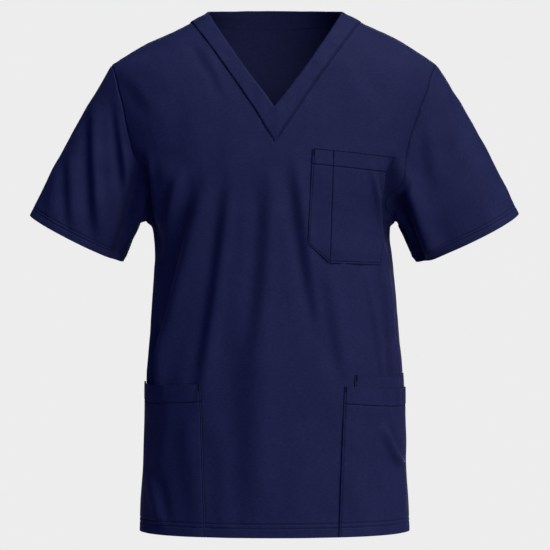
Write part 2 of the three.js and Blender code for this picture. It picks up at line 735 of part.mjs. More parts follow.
const seamNormal = sharedNormals(Object.values(shell));
for (const [name, patch] of Object.entries(shell)) {
  const shared = patch.points.map(seamNormal);
  addPiece(name, patch, shared.map((entry) => entry.normal), shared.map((entry) => entry.mitre));
}
for (const [name, patch] of Object.entries(pockets)) {
  addPiece(name, patch, vertexNormals(patch), patch.points.map(() => 1));
}

export default scrubTop;
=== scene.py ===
import math

import bpy
import numpy as np
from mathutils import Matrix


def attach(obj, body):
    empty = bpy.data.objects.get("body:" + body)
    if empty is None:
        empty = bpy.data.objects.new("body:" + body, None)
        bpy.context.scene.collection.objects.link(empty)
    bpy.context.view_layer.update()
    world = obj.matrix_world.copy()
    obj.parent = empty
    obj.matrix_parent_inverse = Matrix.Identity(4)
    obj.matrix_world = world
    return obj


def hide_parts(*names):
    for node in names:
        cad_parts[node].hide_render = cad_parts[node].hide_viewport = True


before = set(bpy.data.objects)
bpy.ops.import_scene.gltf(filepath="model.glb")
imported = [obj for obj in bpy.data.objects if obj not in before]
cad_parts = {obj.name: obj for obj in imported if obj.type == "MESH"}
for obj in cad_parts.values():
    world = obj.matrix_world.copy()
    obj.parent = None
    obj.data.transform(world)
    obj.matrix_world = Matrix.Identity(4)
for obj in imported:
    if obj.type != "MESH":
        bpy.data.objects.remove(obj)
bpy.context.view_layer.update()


# Front panel: one piece of navy poly-cotton, cut with a V neckline and set to the back at the side and
# shoulder seams. It is filled out as if worn and falls in long soft folds from the armholes and the chest to
# the hem. Sizes are millimetres in the frame's axes until a piece is made, and right is the wearer's, at -X.
RIGHT, LEFT = -1, 1
SEAM_TURN = math.radians(5)
QUARTER = math.pi / 2
FULLNESS = 0.05
CENTRE_DRIFT = -2.4
HEM_Z, VENT_TOP_Z, UNDERARM_Z, ARMPIT_Z, SHOULDER_Z = -737.5, -673, -307, -299, -76
FLARE_TOP_Z, UNDERARM_FLARE, VENT_SPREAD = -262, 6, 2.5
V_POINT_Z, BACK_NECK_SEAM_Z = -189.5, -17
NECK_SEAM_X = {RIGHT: 119.4, LEFT: 120.6}
NECKLINE_BOW = -2

# Half widths to the wearer's right and left, and how far the centre front and back stand from the plane of
# the shoulders.
BODY = [
    # z, right, left, front, back
    (-740, 192.3, 190.5, 125, 122),
    (-690, 190, 188.5, 126, 120),
    (-640, 187, 185.5, 127, 118),
    (-580, 184.5, 183, 127.6, 115),
    (-520, 183, 182, 128, 112),
    (-460, 178.3, 176.8, 127, 110),
    (-400, 174.4, 171.8, 126, 109),
    (-345, 171, 166.4, 125.4, 110.4),
    (-320, 172.4, 163.4, 125.2, 111.8),
    (-299, 177.5, 164.8, 125, 113),
    (-276, 192, 173.5, 124, 115),
    (-255, 202, 186.5, 123, 117),
    (-236, 210.5, 197, 121.5, 118.2),
    (-213, 221.7, 207.6, 118.6, 119),
    (-180, 233, 218.5, 113, 119),
    (-145, 241.5, 232, 105, 115.6),
    (-107, 246.5, 242, 94, 109),
    (-90, 243.4, 240.4, 88, 105),
    (-82, 238.8, 236.4, 84.6, 102.6),
    (-76, 232.6, 230.4, 82, 101),
]
SHOULDER = [
    # z, right, left, front, back
    (-76, 232.6, 230.4, 82, 101),
    (-62, 210.8, 209.6, 74.6, 96.4),
    (-46, 183.3, 185.3, 65.4, 90.6),
    (-34, 156.6, 163.8, 57.7, 85.4),
    (-23, 133, 139, 48, 80.4),
    (-11, 112.8, 115.6, 37, 74.2),
    (0, 96, 96.6, 24, 67),
    (9, 92, 92.6, 18, 62),
]
ARMHOLE = [
    # z, degrees forward on the front, degrees forward on the back
    (-299, 5, 5),
    (-284, 19, -14),
    (-255, 27, -22),
    (-213, 31.5, -28),
    (-180, 32.5, -29.5),
    (-145, 32.5, -29.5),
    (-107, 30, -26),
    (-90, 25.5, -19),
    (-82, 20, -10),
    (-76, 5, 5),
]

# The folds of the front, each along a curve through its top, middle and foot in the front view. Lift sinks
# the cloth on the wearer's right of the line and raises it on the left, width away, and ridge raises the line
# itself. Either may be below zero.
FRONT_FOLDS = [
    # top x, z, middle x, z, foot x, z, width, lift, ridge
    (-186, -200, -181, -256, -171, -335, 8, 11, -8),
    (-134, -222, -150, -290, -163, -372, 8, 5.4, 0.4),
    (-98, -222, -136, -366, -190, -600, 12, 10, 1.0),
    (-64, -210, -83, -370, -122, -600, 9, 4.4, 0.4),
    (-15, -210, -18, -340, -40, -520, 11, 3.2, 0),
    (-42, -400, -42, -560, -46, -770, 23, 4.8, 0),
    (20, -196, 36, -320, 66, -490, 8.5, 3.5, 0.4),
    (58, -340, 76, -430, 98, -548, 10, 2.6, 0),
    (136, -214, 148.5, -289, 157, -356, 3.6, -3.0, 1.6),
    (122, -346, 138, -425, 158, -590, 3.6, -1.0, 5.0),
    (150, -345, 157, -440, 163, -580, 4, 6.5, 0),
    (171, -205, 168, -260, 163, -335, 7, 11, -6),
    (-168, -205, -163, -262, -158, -345, 14, 5.0, 0),
    (-163, -430, -165, -505, -166, -570, 7, 6, -3),
    (-120, -110, -127, -175, -140, -235, 13, 0.8, 0),
    (-60, -150, -72, -195, -84, -245, 12, 0.6, 0),
    (100, -60, 118, -96, 140, -150, 14, -0.8, 0),
    (-208, -92, -196, -118, -170, -160, 10, 1.2, 0),
    (-112, -46, -100, -72, -86, -104, 7, 1.1, 0),
    (-92, -74, -82, -104, -68, -140, 7, 0.7, 0),
    (60, -560, 52, -640, 50, -770, 20, -1.4, 0),
    (-84, -575, -82, -640, -78, -770, 14, 2.0, 0),
]


def curve_of(rows, column):
    """A smooth curve through one column of a table by height, with no overshoot between its rows."""
    at = np.array([row[0] for row in rows], float)
    value = np.array([row[column] for row in rows], float)
    step = np.diff(at)
    rise = np.diff(value) / step
    slope = np.empty(len(at))
    slope[0], slope[-1] = rise[0], rise[-1]
    for i in range(1, len(at) - 1):
        below, above = rise[i - 1], rise[i]
        slope[i] = 0 if below * above <= 0 else 2 * below * above / (below + above)

    def curve(z):
        held = np.clip(z, at[0], at[-1])
        i = np.clip(np.searchsorted(at, held, side="left") - 1, 0, len(step) - 1)
        t = (held - at[i]) / step[i]
        even = value[i] + (value[i + 1] - value[i]) * t * t * (3 - 2 * t)
        return even + step[i] * (t * (1 - t) ** 2 * slope[i] + t * t * (t - 1) * slope[i + 1])

    return curve


body_curves = [curve_of(BODY, column) for column in (1, 2, 3, 4)]
shoulder_curves = [curve_of(SHOULDER, column) for column in (1, 2, 3, 4)]
armhole_front = curve_of(ARMHOLE, 1)
armhole_back = curve_of(ARMHOLE, 2)


def mix(a, b, share):
    return a + (b - a) * share


def ease(share):
    t = np.clip(share, 0, 1)
    return t * t * (3 - 2 * t)


def profile(column, z):
    return np.where(z > SHOULDER_Z, shoulder_curves[column](z), body_curves[column](z))


def half_width(side, z):
    return profile(0 if side == RIGHT else 1, z)


def form(side, turn, z):
    """The filled-out form without folds. turn is the angle from the body's side, forward above zero."""
    turn, z = np.broadcast_arrays(np.asarray(turn, float), np.asarray(z, float))
    fuller = 1 + FULLNESS * np.sin(2 * turn) ** 2
    depth = np.where(turn > 0, profile(2, z), profile(3, z))
    rising = ease((z - UNDERARM_Z) / (ARMPIT_Z - UNDERARM_Z))
    flared = rising * ease((FLARE_TOP_Z - z) / (FLARE_TOP_Z - ARMPIT_Z))
    flare = UNDERARM_FLARE * flared * np.maximum(np.cos(turn), 0) ** 14
    x = side * (half_width(side, z) * np.cos(turn) * fuller + flare) + CENTRE_DRIFT * np.sin(turn) ** 2
    return np.stack([x, -depth * np.sin(turn) * fuller, z], axis=-1)


def unit(vectors):
    return vectors / np.maximum(np.linalg.norm(vectors, axis=-1, keepdims=True), 1e-9)


def form_normal(side, turn, z):
    round_it = form(side, turn + 0.01, z) - form(side, turn - 0.01, z)
    up = form(side, turn, z + 1.5) - form(side, turn, z - 1.5)
    return unit(np.cross(up, round_it) * side)


def turn_at(side, x, z):
    """The turn at which the form's front is x from the middle."""
    x, z = np.broadcast_arrays(np.asarray(x, float), np.asarray(z, float))
    low, high = np.zeros(x.shape), np.full(x.shape, QUARTER)
    for _ in range(32):
        middle = (low + high) / 2
        outside = side * (form(side, middle, z)[..., 0] - x) > 0
        low, high = np.where(outside, middle, low), np.where(outside, high, middle)
    return (low + high) / 2


def fold_lift(folds, x, z):
    """How far a table of folds moves the cloth out at places in the front view."""
    lift = np.zeros(np.shape(x))
    for top_x, top_z, mid_x, mid_z, foot_x, foot_z, width, roll, ridge in folds:
        along = np.clip((top_z - z) / (top_z - foot_z), 0, 1)
        bend = (top_z - mid_z) / (top_z - foot_z)
        bow = (mid_x - mix(top_x, foot_x, bend)) / (bend * (1 - bend))
        line_x = mix(top_x, foot_x, along) + bow * along * (1 - along)
        lean = (foot_x - top_x + bow * (1 - 2 * along)) / (top_z - foot_z)
        off = (x - line_x) / (width * np.hypot(1, lean))
        fade = ease(along / 0.3) * ease((1 - along) / 0.35)
        lift += fade * (roll * off * np.exp(0.5 * (1 - off * off)) + ridge * np.exp(-0.5 * off * off))
    return lift


def limp(points, size, height, seed):
    """The small uneven waves of limp cloth, as heights at points: a few crossing swells about size long."""
    chance = np.random.default_rng(seed)
    total = np.zeros(points.shape[:-1])
    for _ in range(7):
        heading = unit(chance.normal(size=3) * [1, 1, 0.55])
        length = size * chance.uniform(0.7, 1.6)
        total += np.sin(points @ heading * (2 * math.pi / length) + chance.uniform(0, 6.3))
    return height * total / 7**0.5


def cloth(side, turn, z):
    """A place on the cloth: the form with the folds of its face, which die out towards the side seams."""
    turn, z = np.broadcast_arrays(np.asarray(turn, float), np.asarray(z, float))
    bare = form(side, turn, z)
    kept = ease((np.abs(turn) - SEAM_TURN) / math.radians(12))
    front_lift, back_lift = (fold_lift(folds, bare[..., 0], z) for folds in (FRONT_FOLDS, BACK_FOLDS))
    lift = np.where(turn > 0, front_lift, back_lift)
    swell = limp(bare, 46, 0.35, 3) + limp(bare, 17, 0.09, 4)
    return bare + form_normal(side, turn, z) * (kept * (lift + swell))[..., None]


def run_along(points, axis):
    """The distance run along a grid's rows or columns, from its first point."""
    steps = np.linalg.norm(np.diff(points, axis=axis), axis=-1)
    start = np.zeros_like(np.take(steps, [0], axis=axis))
    return np.concatenate([start, np.cumsum(steps, axis=axis)], axis=axis)


def facing(points, inside):
    """The normals of a grid of points, facing away from the point inside."""
    normals = unit(np.cross(np.gradient(points, axis=1), np.gradient(points, axis=0)))
    outwards = np.sum(normals * (points - np.asarray(inside, float)), axis=-1).mean() > 0
    return normals if outwards else -normals


def dip(distance, depth, width):
    return -depth * np.exp(-((distance / width) ** 2))


surfaces = {}


def laid_grid(name, columns, rows, place, inside):
    """A grid of quads whose corners lie where place puts them, facing away from the point inside."""
    bpy.ops.object.select_all(action="DESELECT")
    bpy.ops.mesh.primitive_grid_add(x_subdivisions=columns, y_subdivisions=rows, size=1, calc_uvs=True)
    piece = bpy.context.object
    piece.name = name
    mesh = piece.data
    flat = np.empty(len(mesh.vertices) * 3)
    mesh.vertices.foreach_get("co", flat)
    flat = flat.reshape(-1, 3)
    order = np.lexsort((np.round(flat[:, 0], 6), np.round(flat[:, 1], 6)))
    shape = (rows + 1, columns + 1)
    across = flat[order, 0].reshape(shape) + 0.5
    up = flat[order, 1].reshape(shape) + 0.5
    points = place(across, up)
    surfaces[name] = points, facing(points, inside)
    cut = np.empty((len(flat), 2))
    cut[order, 0] = (run_along(points, 1) - run_along(points, 1).mean(axis=1, keepdims=True)).ravel() / 1000
    cut[order, 1] = run_along(points, 0).ravel() / 1000
    laid = np.empty((len(flat), 3))
    laid[order] = points.reshape(-1, 3) / 1000
    mesh.vertices.foreach_set("co", laid.ravel())
    corners = np.empty(len(mesh.loops), int)
    mesh.loops.foreach_get("vertex_index", corners)
    mesh.uv_layers[0].data.foreach_set("uv", cut[corners].ravel())
    mesh.update()
    normals = np.array([face.normal for face in mesh.polygons])
    centres = np.array([face.center for face in mesh.polygons])
    if np.sum(normals * (centres - np.asarray(inside, float) / 1000)) < 0:
        mesh.flip_normals()
    return piece


def made_up(name, parts, thickness):
    """The finished piece: its parts joined where they meet, given a thickness inwards, and smooth."""
    bpy.ops.object.select_all(action="DESELECT")
    for part in parts:
        part.select_set(True)
    piece = parts[0]
    bpy.context.view_layer.objects.active = piece
    if len(parts) > 1:
        bpy.ops.object.join()
        bpy.ops.object.mode_set(mode="EDIT")
        bpy.ops.mesh.select_all(action="SELECT")
        bpy.ops.mesh.remove_doubles(threshold=0.00002)
        bpy.ops.object.mode_set(mode="OBJECT")
    piece.name = name
    piece.data.name = name
    wall = piece.modifiers.new("cloth_thickness", "SOLIDIFY")
    wall.thickness = thickness / 1000
    wall.offset = -1
    bpy.ops.object.modifier_apply(modifier="cloth_thickness")
    bpy.ops.object.shade_smooth_by_angle(angle=math.radians(55))
    return piece


def add_node(tree, kind, settings=(), **values):
    """Adds a node, with its properties from settings and its sockets' values or links from values."""
    node = tree.nodes.new(kind)
    for key, value in dict(settings).items():
        setattr(node, key, value)
    for key, value in values.items():
        socket = node.inputs[key.replace("_", " ")]
        if isinstance(value, bpy.types.NodeSocket):
            tree.links.new(value, socket)
        else:
            socket.default_value = value
    return node


def linear(colour):
    """An sRGB hex colour as linear red, green, blue and alpha."""
    shares = [int(colour[i : i + 2], 16) / 255 for i in (1, 3, 5)]
    return [s / 12.92 if s <= 0.04045 else ((s + 0.055) / 1.055) ** 2.4 for s in shares] + [1]


# Poly-cotton poplin: a matt dark navy whose short surface fibres give a faint pale bloom where the cloth
# turns away, with a weave too fine to see from a step away and slight unevenness in its dye.
navy = bpy.data.materials.new("navy poly-cotton poplin")
navy.use_nodes = True
tree = navy.node_tree
surface = tree.nodes["Principled BSDF"]
where = add_node(tree, "ShaderNodeTexCoord")
dye = add_node(tree, "ShaderNodeTexNoise", Vector=where.outputs["Object"], Scale=38.0, Detail=3.0)
one_a_millimetre = {"Vector": where.outputs["UV"], "Scale": 314.0, "Distortion": 0.6}
threads = add_node(tree, "ShaderNodeTexWave", {"bands_direction": "X"}, **one_a_millimetre)
picks = add_node(tree, "ShaderNodeTexWave", {"bands_direction": "Y"}, **one_a_millimetre)
slubs = add_node(tree, "ShaderNodeMapping", Vector=where.outputs["UV"], Scale=(190.0, 520.0, 1.0))
yarns = add_node(tree, "ShaderNodeTexNoise", Vector=slubs.outputs["Vector"], Scale=1.0, Detail=2.0)
weave = add_node(tree, "ShaderNodeMath", {"operation": "MULTIPLY"})
tree.links.new(threads.outputs["Fac"], weave.inputs[0])
tree.links.new(picks.outputs["Fac"], weave.inputs[1])
uneven = add_node(tree, "ShaderNodeMath", {"operation": "MULTIPLY_ADD"})
tree.links.new(weave.outputs[0], uneven.inputs[0])
uneven.inputs[1].default_value = 0.35
tree.links.new(dye.outputs["Fac"], uneven.inputs[2])
mottled = add_node(tree, "ShaderNodeMath", {"operation": "MULTIPLY_ADD"})
tree.links.new(yarns.outputs["Fac"], mottled.inputs[0])
mottled.inputs[1].default_value = 2.6
tree.links.new(uneven.outputs[0], mottled.inputs[2])
level = add_node(tree, "ShaderNodeMath", {"operation": "SUBTRACT"})
tree.links.new(mottled.outputs[0], level.inputs[0])
level.inputs[1].default_value = 1.45
tint = add_node(tree, "ShaderNodeMix", {"data_type": "RGBA"})
tree.links.new(level.outputs[0], tint.inputs["Factor"])
tint.inputs[6].default_value = linear("#1b2145")
tint.inputs[7].default_value = linear("#242950")
tree.links.new(tint.outputs[2], surface.inputs["Base Color"])
surface.inputs["Roughness"].default_value = 0.74
surface.inputs["Specular IOR Level"].default_value = 0.1
surface.inputs["Sheen Weight"].default_value = 0.025
surface.inputs["Sheen Roughness"].default_value = 0.45
surface.inputs["Sheen Tint"].default_value = linear("#9aa0c8")


def finish_cloth(piece, node):
    piece.data.materials.clear()
    piece.data.materials.append(navy)
    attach(piece, "root")
    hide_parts(node)


INSIDE_BODY = (0, 0, -400)
CLOTH_THICKNESS = 0.9
SEAM_DIP, SEAM_WIDTH = 1.7, 1.4
HEM_LINES = (13, 19)
THREAD_DIP, THREAD_WIDTH = 0.5, 1.2
ARMPIT_SHARE = 0.63
NECK_CROWDING = 1.35


def seam_height(side, x):
    """Where the shoulder seam is, at x from the middle."""
    low, high = np.full(np.shape(x), float(SHOULDER_Z)), np.zeros(np.shape(x))
    for _ in range(32):
        middle = (low + high) / 2
        wider = half_width(side, middle) > x
        low, high = np.where(wider, middle, low), np.where(wider, high, middle)
    return (low + high) / 2


NECK_SEAM_Z = {side: float(seam_height(side, np.array(NECK_SEAM_X[side]))) for side in (RIGHT, LEFT)}


def neck_turn(side, z):
    """The turn of the neckline seam of the front at a height."""
    share = (z - V_POINT_Z) / (NECK_SEAM_Z[side] - V_POINT_Z)
    x = NECK_SEAM_X[side] * share + 4 * NECKLINE_BOW * share * (1 - share)
    inside = turn_at(side, side * x, np.minimum(z, NECK_SEAM_Z[side] - 0.01))
    return np.where(z >= NECK_SEAM_Z[side] - 0.02, SEAM_TURN, inside)


def outer_height(up):
    """The height of a row at the side seam and the armhole, with rows crowded at hem, armpit and top."""
    at_side = np.interp(up, [0, 0.12, 0.13, 0.6, ARMPIT_SHARE], [HEM_Z, -713, -710, UNDERARM_Z, ARMPIT_Z])
    rise = (up - ARMPIT_SHARE) / (1 - ARMPIT_SHARE)
    at_armhole = mix(ARMPIT_Z, SHOULDER_Z, mix(rise, ease(rise), 0.45))
    return np.where(up > ARMPIT_SHARE, at_armhole, at_side)


def crowded(share):
    """Shares of the way up the neckline, crowded towards the shoulder."""
    return 1 - (1 - np.clip(share, 0, 1)) ** NECK_CROWDING


def vent_turn(side, z):
    """The vents are open slits at the foot of the side seams, so the panels draw apart below their tops."""
    return VENT_SPREAD * np.clip((VENT_TOP_Z - z) / (VENT_TOP_Z - HEM_Z), 0, 1) / profile(2, z)


def denser(even, spots, reach, weight=5):
    """Rows or columns drawn closer together near some places, so that seams and stitching have fine grid."""
    place = np.linspace(0, 1, 4001)
    close = 1 + sum(weight * np.exp(-(((place - spot) / reach) ** 2)) for spot in spots)
    count = np.cumsum(close) - close[0]
    return np.interp(even, count / count[-1], place)


def sunk(*runs):
    """How far cloth sinks towards its seams, at distances from them: the most where it is nearest to one."""
    return dip(np.minimum.reduce(runs), SEAM_DIP, SEAM_WIDTH)


def dressed(points, normals, outer_run, inner_run, top_run, foot_run):
    """Sinks a panel's seam edges and its twin rows of hem stitching, and puckers the cloth along them."""
    nearest = np.minimum(np.minimum(outer_run, inner_run), top_run)
    sink = sunk(outer_run, inner_run, top_run)
    for line in HEM_LINES:
        sink = sink + dip(foot_run - line, THREAD_DIP, THREAD_WIDTH)
    near = np.exp(-outer_run / 13) + np.exp(-top_run / 10) + np.exp(-inner_run / 11)
    near_hem = np.exp(-np.abs(foot_run - 16) / 14)
    pucker = limp(points, 15, 0.32, 11) * near + limp(points, 11, 0.2, 12) * near_hem
    return points + normals * (sink + pucker * ease(nearest / 3))[..., None]


HEM_SPOTS = (0, 0.0637, 0.0931, 1)


def front_place(side):
    def place(across, up):
        up = denser(up, HEM_SPOTS, 0.012)
        outer_z = outer_height(up)
        level, point = 0.42, 0.72
        inner_z = np.where(
            up <= level,
            outer_z,
            np.where(
                up <= point,
                mix(float(outer_height(np.array(level))), V_POINT_Z, (up - level) / (point - level)),
                mix(V_POINT_Z, NECK_SEAM_Z[side], crowded((up - point) / (1 - point))),
            ),
        )
        share = denser(across, (0, 1), 0.02)
        below = outer_z <= ARMPIT_Z
        outer_turn = np.where(below, SEAM_TURN + vent_turn(side, outer_z), np.radians(armhole_front(outer_z)))
        inner_turn = np.where(up <= point, QUARTER, neck_turn(side, np.maximum(inner_z, V_POINT_Z)))
        z = mix(outer_z, inner_z, share)
        top = up > 1 - 1e-6
        z = np.where(top, seam_height(side, mix(half_width(side, SHOULDER_Z), NECK_SEAM_X[side], share)), z)
        turn = np.where(top, SEAM_TURN, mix(outer_turn, inner_turn, share))
        points = cloth(side, turn, z)
        rows, columns = run_along(points, 1), run_along(points, 0)
        return dressed(
            points,
            form_normal(side, turn, z),
            rows + np.where(outer_z < VENT_TOP_Z - 4, 50, 0),
            rows[:, -1:] - rows + np.maximum(V_POINT_Z - inner_z, 0) * 1.5,
            columns[-1:] - columns,
            columns,
        )

    return place


BACK_FOLDS = [
    # top x, z, middle x, z, foot x, z, width, lift, ridge
    (-122, -226, -142, -370, -160, -600, 10, -4.6, 0),
    (-68, -180, -84, -390, -106, -700, 13, -4.6, 0.4),
    (-14, -250, -22, -450, -30, -730, 17, 3.6, 0),
    (38, -196, 57, -390, 70, -700, 13, 4.6, 0),
    (102, -222, 127, -370, 150, -610, 10, 4.6, 0.4),
    (-150, -120, -140, -180, -126, -250, 12, -1.6, 0),
    (148, -122, 138, -185, 126, -250, 12, 1.6, 0),
    (-90, -560, -84, -640, -80, -736, 15, -2.2, 0),
    (96, -560, 92, -640, 88, -736, 15, 2.0, 0),
]

front_halves = [laid_grid(f"front_{side}", 92, 200, front_place(side), INSIDE_BODY) for side in (RIGHT, LEFT)]
front = made_up("front_panel", front_halves, CLOTH_THICKNESS)
finish_cloth(front, "front")


# Back panel: cut in one piece like the front, with a shallow neckline, and sewn to it at the sides and the
# shoulders. The photo shows only its inside through the neck, so its folds are like those of the front.
NAPE_SHARE, NAPE_LIFT = 0.28, 1.3


def back_place(side):
    def place(across, up):
        up = denser(up, HEM_SPOTS, 0.012)
        outer_z = outer_height(up)
        level = 0.42
        start = float(outer_height(np.array(level)))
        inner_z = np.where(up <= level, outer_z, mix(start, BACK_NECK_SEAM_Z, (up - level) / (1 - level)))
        share = denser(across, (0,), 0.02)
        below = outer_z <= ARMPIT_Z
        outer_turn = np.where(below, SEAM_TURN - vent_turn(side, outer_z), np.radians(armhole_back(outer_z)))
        on_seam = share <= 1 - NAPE_SHARE
        seam_share = np.clip(share / (1 - NAPE_SHARE), 0, 1)
        nape_share = np.clip((share - 1 + NAPE_SHARE) / NAPE_SHARE, 0, 1)
        shoulder_z = seam_height(side, mix(half_width(side, SHOULDER_Z), NECK_SEAM_X[side], seam_share))
        top_z = np.where(on_seam, shoulder_z, mix(NECK_SEAM_Z[side], BACK_NECK_SEAM_Z, nape_share))
        top_turn = np.where(on_seam, SEAM_TURN, mix(SEAM_TURN, -QUARTER, nape_share))
        lift = np.clip((up - ARMPIT_SHARE) / (1 - ARMPIT_SHARE), 0, 1) ** 2
        turn = mix(outer_turn, -QUARTER, share) + lift * (top_turn - mix(SEAM_TURN, -QUARTER, share))
        z = mix(outer_z, inner_z, share) + lift * (top_z - mix(SHOULDER_Z, BACK_NECK_SEAM_Z, share))
        points = cloth(side, turn, z)
        rows, columns = run_along(points, 1), run_along(points, 0)
        open_vent = np.where(outer_z < VENT_TOP_Z - 4, 50, 0)
        far = np.full(rows.shape, 900.0)
        normals = form_normal(side, turn, z)
        top_run = columns[-1:] - columns
        nape_lift = NAPE_LIFT * np.exp(-((top_run / 2) ** 2)) * ease(nape_share * 12)
        points = points + normals * nape_lift[..., None]
        return dressed(points, normals, rows + open_vent, far, top_run, columns)

    return place


back_halves = [laid_grid(f"back_{side}", 96, 200, back_place(side), INSIDE_BODY) for side in (RIGHT, LEFT)]
back = made_up("back_panel", back_halves, CLOTH_THICKNESS)
finish_cloth(back, "back")


# Sleeves: set in round the armholes and hemmed with two rows of stitching, each with one seam under the arm.
# They hang clear of the sides with folds that run down from the armhole.
SLEEVES = [
    # side, name, outer x, z, inner x, z, half depth, drop, crown
    (RIGHT, "sleeve_right", -349.6, -289, -216.5, -356, 49, 5.5, 3),
    (LEFT, "sleeve_left", 347, -287, 202.2, -356.4, 49, 8, 4.5),
]
SLEEVE_FOLDS = [
    # top x, z, middle x, z, foot x, z, width, lift, ridge
    (-296, -190, -293, -250, -288, -330, 7, 2.4, 0),
    (-262, -118, -260, -205, -251, -345, 7.5, 4.6, 0.4),
    (-225, -104, -217, -200, -206, -300, 7, 3.4, 0),
    (-318, -215, -322, -262, -326, -330, 8, 1.2, 0),
    (-186, -205, -199, -300, -246, -430, 9, 10, -5),
    (243, -84, 254, -150, 272, -225, 8, -2.0, 0.4),
    (205, -150, 212, -200, 222, -262, 10, 1.8, 0),
    (163, -218, 187, -295, 254, -440, 13.5, 16.0, -7),
    (296, -190, 302, -245, 312, -330, 12, -1.4, 0),
]
SLEEVE_HEM_LINES = (10, 14.2)
SLEEVE_SPOTS = (0, 0.93, 0.95, 1)
UNDERARM_EASE = 6


def sleeve_place(side, outer_x, outer_z, inner_x, inner_z, half_depth, drop, crown):
    def place(across, up):
        round_it = across[0]
        up = denser(up, SLEEVE_SPOTS, 0.02)
        front_half = round_it <= 0.5
        rise = np.where(front_half, 2 * round_it, 2 - 2 * round_it)
        z = mix(ARMPIT_Z, SHOULDER_Z, mix(rise, ease(rise), 0.45))
        armhole = np.radians(np.where(front_half, armhole_front(z), armhole_back(z)))
        ring, plain_ring = cloth(side, armhole, z), form(side, armhole, z)
        ring_normals = form_normal(side, armhole, z)
        run = run_along(ring[None], 1)[0]
        top = np.interp(0.5, round_it, run)
        turn = np.where(front_half, math.pi * (1 - run / top), -math.pi * (run - top) / (run[-1] - top))
        outer, inner = np.array([outer_x, 0, outer_z]), np.array([inner_x, 0, inner_z])
        centre, reach = (outer + inner) / 2, (outer - inner) / 2
        long_way = unit(reach)
        downwards = np.array([long_way[2], 0, -long_way[0]])
        downwards = downwards if downwards[2] < 0 else -downwards
        opening = (
            centre
            + np.cos(turn)[:, None] * reach
            + np.sin(turn)[:, None] * (np.array([0, -half_depth, 0]) + drop * downwards)
        )
        share = up[..., None]
        crowned = crown * np.maximum(np.cos(turn), 0) * np.sin(math.pi * up)
        eased = UNDERARM_EASE * np.maximum(-np.cos(turn), 0) * ease(up * 12) * (1 - up)
        points = mix(plain_ring[None], opening[None], share) + (crowned + eased)[..., None] * long_way
        points = points + (ring - plain_ring)[None] * np.exp(-((run_along(points, 0) / 15) ** 2))[..., None]
        inside = (centre + np.array([side * 205, 0, -190])) / 2
        normals = facing(points, inside)
        down = run_along(points, 0)
        left_run, hem_run = run_along(points, 1), down[-1:] - down
        seam_run = np.minimum(left_run, left_run[:, -1:] - left_run)
        between_ends = ease(up / 0.16) * (0.35 + 0.65 * ease((1 - up) / 0.14))
        kept = between_ends * np.clip(np.abs(normals[..., 1]) * 1.3, 0, 1)
        rear = normals[..., 1] > 0
        folds = fold_lift(SLEEVE_FOLDS, points[..., 0], points[..., 2]) * np.where(rear, -0.8, 1)
        lift = kept * folds + limp(points, 44, 0.4, 21) * ease(up / 0.1) + limp(points, 17, 0.1, 22)
        lift = lift + limp(points, 14, 0.3, 23) * np.exp(-down / 12)
        lift = lift + limp(points, 12, 0.14, 24) * np.exp(-np.abs(hem_run - 12) / 7)
        lift = lift * ease(down / 3) + sunk(down, seam_run)
        for line in SLEEVE_HEM_LINES:
            lift = lift + dip(hem_run - line, THREAD_DIP, THREAD_WIDTH)
        normals = unit(mix(ring_normals[None], normals, ease(down / 5)[..., None]))
        return points + normals * lift[..., None]

    return place


sleeves = {}
for side, node, *sizes in SLEEVES:
    inside = ((sizes[0] + sizes[2]) / 4 + side * 102, 0, -255)
    tube = laid_grid(node + "_tube", 168, 116, sleeve_place(side, *sizes), inside)
    sleeves[node] = made_up(node + "_cloth", [tube], CLOTH_THICKNESS)
    finish_cloth(sleeves[node], node)


# Neckband: a strip folded double, about 29 mm wide. The wearer's left end laps over the right one and runs on
# down to the V point, where both are sewn into the neckline. It is pressed flat, so it has hardly any folds.
LAP_Z, INNER_V_Z, NECK_POINT_Z, BACK_NECK_TOP_Z = -160.2, -140.4, 0, 8
NECK_POINT_X, BAND_BOW = 96, 4
BAND_RISE, BAND_THICKNESS = 0.9, 1.6


def raised_band(points, normals, seam_run, fold_run):
    """A band stands a little over the panel between its sunk seam and its soft folded edge."""
    rise = limp(points, 26, 0.22, 31) + limp(points, 9, 0.1, 32) * np.exp(-seam_run / 9) + BAND_RISE
    rise = rise * ease(seam_run / 2.2) + sunk(seam_run) + dip(fold_run, 1.2, 1.1)
    return points + normals * rise[..., None]


def on_front(x, z):
    """The turn at places in the front view, and the side they are on."""
    side = np.where(x < CENTRE_DRIFT, RIGHT, LEFT)
    found = np.zeros(np.shape(x))
    for each in (RIGHT, LEFT):
        widest = np.abs(form(each, SEAM_TURN, z)[..., 0])
        turn = np.where(np.abs(x) >= widest - 0.02, SEAM_TURN, turn_at(each, x, z))
        found = np.where(side == each, np.maximum(turn, SEAM_TURN), found)
    return side, found


def laid_on_front(x, z):
    """Places on the front panel's cloth, and their normals, at places in the front view."""
    side, turn = on_front(x, z)
    right = (side == RIGHT)[..., None]
    points = np.where(right, cloth(RIGHT, turn, z), cloth(LEFT, turn, z))
    return points, np.where(right, form_normal(RIGHT, turn, z), form_normal(LEFT, turn, z))


def band_lines(side, rising):
    """The seam and the folded edge of a front band, from the lap to the shoulder, in the front view."""
    seam_z = mix(LAP_Z, NECK_SEAM_Z[side], rising)
    seam_x = np.abs(form(side, neck_turn(side, seam_z), seam_z)[..., 0])
    fold_x = NECK_POINT_X * rising + 4 * BAND_BOW * rising * (1 - rising)
    fold_z = mix(INNER_V_Z, NECK_POINT_Z, rising)
    fold_x = np.where(rising > 1 - 1e-6, np.abs(form(side, SEAM_TURN, fold_z)[..., 0]), fold_x)
    return side * seam_x, seam_z, side * fold_x, fold_z


LAP_ROWS, LAP_TUCK, LAP_RISE, POINT_TUCK = 0.13, 5, 0.9, 3


